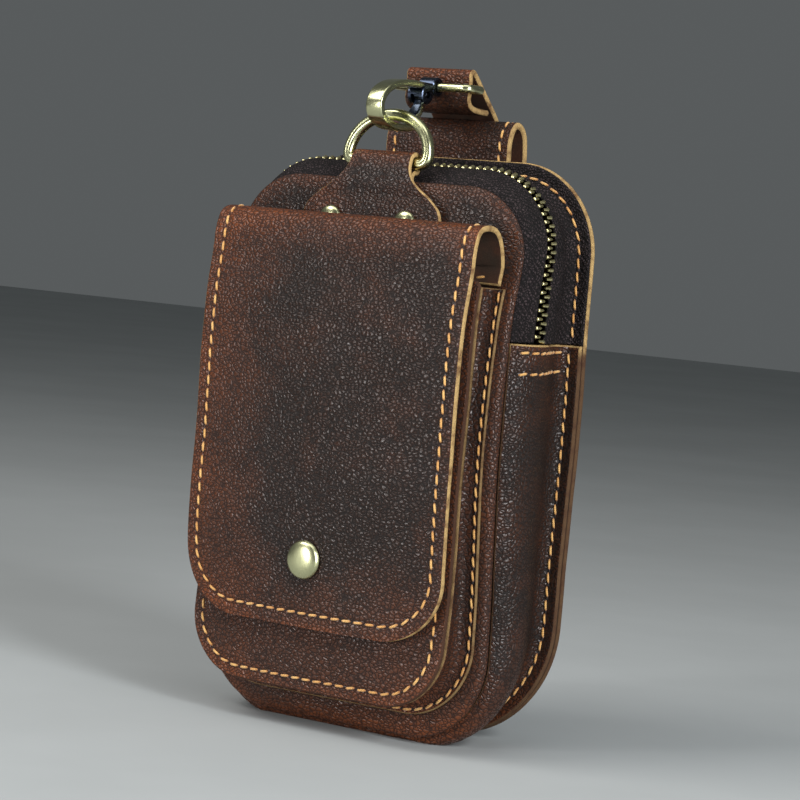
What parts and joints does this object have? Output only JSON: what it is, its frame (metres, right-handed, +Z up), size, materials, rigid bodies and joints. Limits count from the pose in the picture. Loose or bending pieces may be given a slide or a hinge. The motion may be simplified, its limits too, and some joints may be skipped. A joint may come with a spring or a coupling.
{
  "type": "leather belt bag",
  "caption": "Upright leather belt bag with a zipped body, a flapped front pocket with a snap, a ring tab with D-ring and gate hook, and a belt loop behind.",
  "frame": {"origin": "middle of the flat bottom on which the bag stands", "axes": "+Z up, -Y out of the flap's front, +X across the bag"},
  "size_m": [0.1203, 0.0733, 0.2084],
  "materials": {
    "leather": "dark red-brown pull-up leather, pebbled, half-gloss",
    "tape": "dark plum-brown zip tape, woven",
    "brass": "antique brass, satin with bright edges",
    "zip_brass": "dull antique brass"
  },
  "bodies": {
    "bag": {"back_panel": "leather", "front_panel": "leather", "gusset": "leather", "zip_tape_front": "tape", "zip_tape_rear": "tape", "zip_teeth": "zip_brass", "zip_slider": "zip_brass", "pocket_face": "leather", "pocket_wall": "leather", "flap": "leather", "snap_cap": "brass", "snap_stud": "brass", "ring_tab": "leather", "tab_rivet_left": "brass", "tab_rivet_right": "brass", "hook_ring": "brass", "hook_strap": "leather", "belt_loop": "leather"},
    "ring": {"d_ring": "brass"},
    "hook": {"hook_body": "brass"},
    "gate": {"hook_gate": "brass"}
  },
  "joints": [
    {"name": "ring_swing", "type": "hinge", "parent": "bag", "child": "ring", "pos_m": [0, -0.0105, 0.177], "axis": [1, 0, 0], "range_deg": [-5, 12]},
    {"name": "hook_swing", "type": "hinge", "parent": "bag", "child": "hook", "pos_m": [0, 0.0096, 0.2021], "axis": [1, 0, 0], "range_deg": [0, 9]},
    {"name": "gate_lever", "type": "hinge", "parent": "hook", "child": "gate", "pos_m": [0, 0.0042, 0.1992], "axis": [1, 0, 0], "range_deg": [-24, 0], "stiffness_Nm_per_rad": 0.02, "springref_deg": 11.46}
  ]
}
